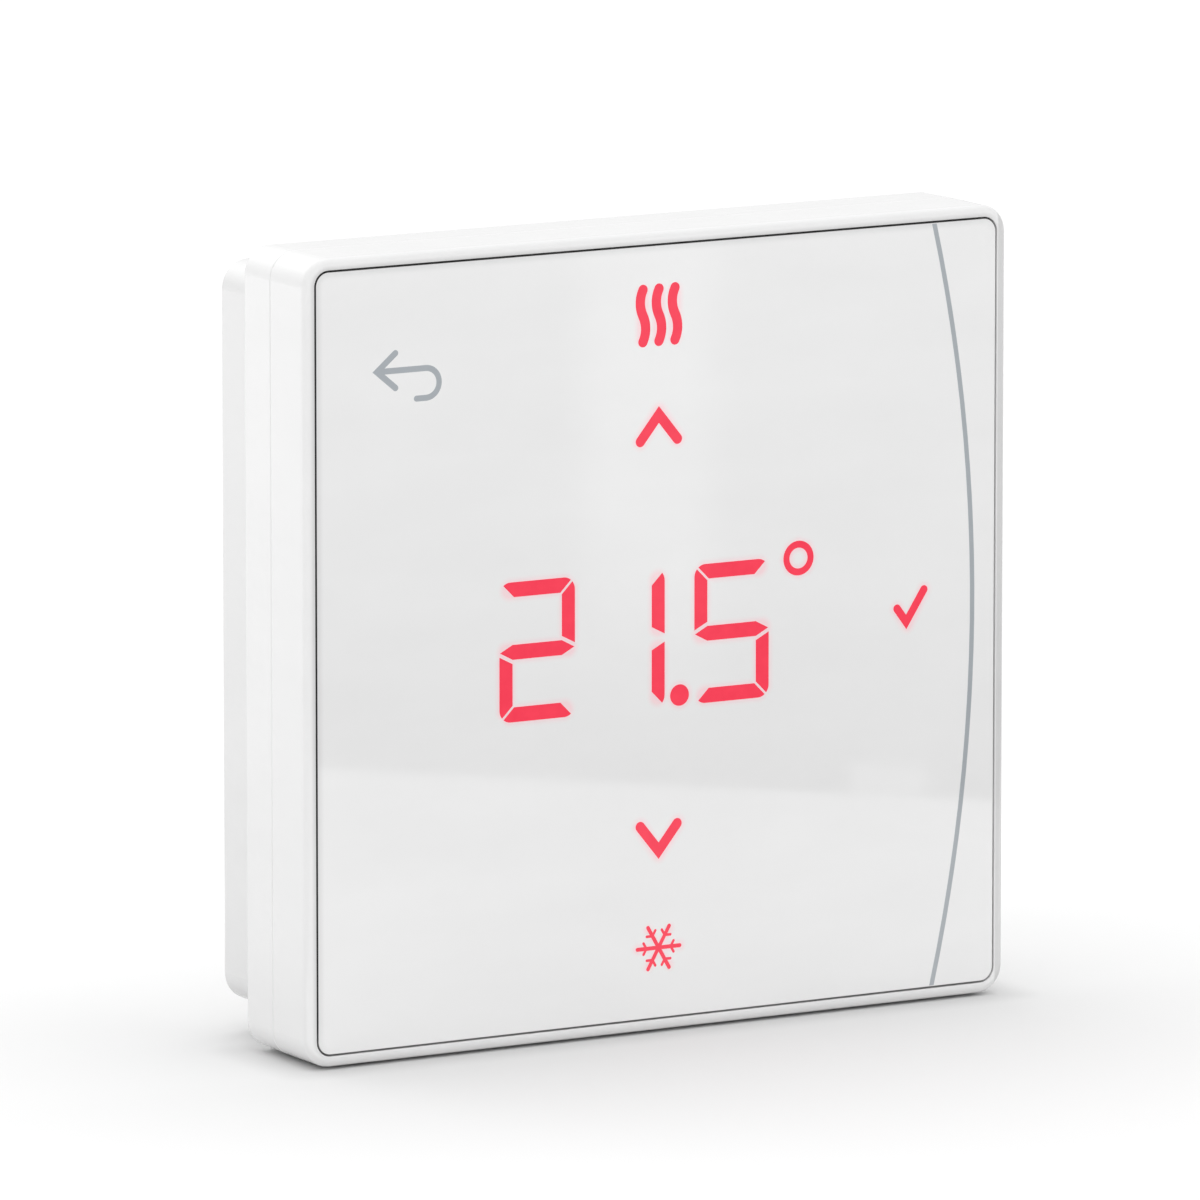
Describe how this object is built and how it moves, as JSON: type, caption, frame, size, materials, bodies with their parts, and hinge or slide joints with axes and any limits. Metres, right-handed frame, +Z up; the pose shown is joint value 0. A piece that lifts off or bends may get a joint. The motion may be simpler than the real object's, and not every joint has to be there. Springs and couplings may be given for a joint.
{
  "type": "wall thermostat",
  "caption": "Square on-wall touch thermostat with a flush white panel, red light display and symbols, rear battery cover and a pull-off wall base with slotted screw holes.",
  "frame": {"origin": "centre of the wall base's back face, on the wall plane", "axes": "+Y into the wall (the front faces -Y), +Z up, +X to the right as seen from the room"},
  "size_m": [0.086, 0.0237, 0.086],
  "materials": {
    "housing_white": "glossy moulded ABS, polished mould finish",
    "base_white": "semi-gloss moulded ABS",
    "cover_white": "fine-textured moulded ABS",
    "panel_white": "mirror-smooth white touch panel",
    "display_red": "red light through a smooth window",
    "print_grey": "printed blue-grey ink under gloss",
    "tape_grey": "foam adhesive tape",
    "clear_film": "clear polyester film with printed sensor tracks",
    "milky_film": "milky polyester film",
    "reflector_white": "bright white moulded plastic",
    "clear_acrylic": "clear moulded acrylic",
    "led_body": "encapsulated light-emitting diode",
    "board_green": "solder mask over glass-fibre laminate",
    "connector_ivory": "moulded nylon",
    "chip_black": "moulded epoxy",
    "tinned_steel": "tin-plated sheet",
    "can_aluminium": "drawn can",
    "chip_ceramic": "fired ceramic",
    "sensor_epoxy": "dipped epoxy bead",
    "button_grey": "moulded plastic",
    "cell_jacket": "plain printed shrink sleeve over a steel can",
    "nickel_contact": "nickel-plated spring strip",
    "spring_steel": "stainless spring strip",
    "zinc_screw": "zinc-plated steel"
  },
  "bodies": {
    "wall_base": {"wall_base": "base_white", "retaining_clips": "spring_steel"},
    "thermostat": {"front_bezel": "housing_white", "front_panel": "panel_white", "panel_tape": "tape_grey", "touch_foil": "clear_film", "diffuser_film": "milky_film", "display_reflector": "reflector_white", "check_light_pipe": "clear_acrylic", "display_leds": "led_body", "main_board": "board_green", "foil_connector": "connector_ivory", "microcontroller": "chip_black", "radio_shield": "tinned_steel", "radio_antenna": "tinned_steel", "crystal": "tinned_steel", "storage_capacitor": "can_aluminium", "chip_components": "chip_ceramic", "temperature_sensor": "sensor_epoxy", "pairing_switch": "chip_black", "rear_cover": "cover_white", "upper_cell": "cell_jacket", "lower_cell": "cell_jacket", "negative_contact": "nickel_contact", "positive_contact": "nickel_contact", "bridge_contact": "nickel_contact", "board_screws": "zinc_screw", "cover_screws": "zinc_screw", "digit_segments": "display_red", "decimal_point": "display_red", "degree_ring": "display_red", "heating_symbol": "display_red", "cooling_symbol": "display_red", "up_key_mark": "display_red", "down_key_mark": "display_red", "check_key_mark": "display_red", "back_key_mark": "print_grey", "side_line_mark": "print_grey"},
    "pairing_button": {"pairing_button": "button_grey", "switch_plunger": "button_grey"}
  },
  "joints": [
    {"name": "pull_off", "type": "slide", "parent": "wall_base", "child": "thermostat", "axis": [0, -1, 0], "range_m": [0, 0.03], "deforming": ["retaining_clips"]},
    {"name": "pairing_press", "type": "slide", "parent": "thermostat", "child": "pairing_button", "axis": [0, -1, 0], "range_m": [0, 0.0004], "stiffness_N_per_m": 500, "springref_m": -0.0005}
  ]
}
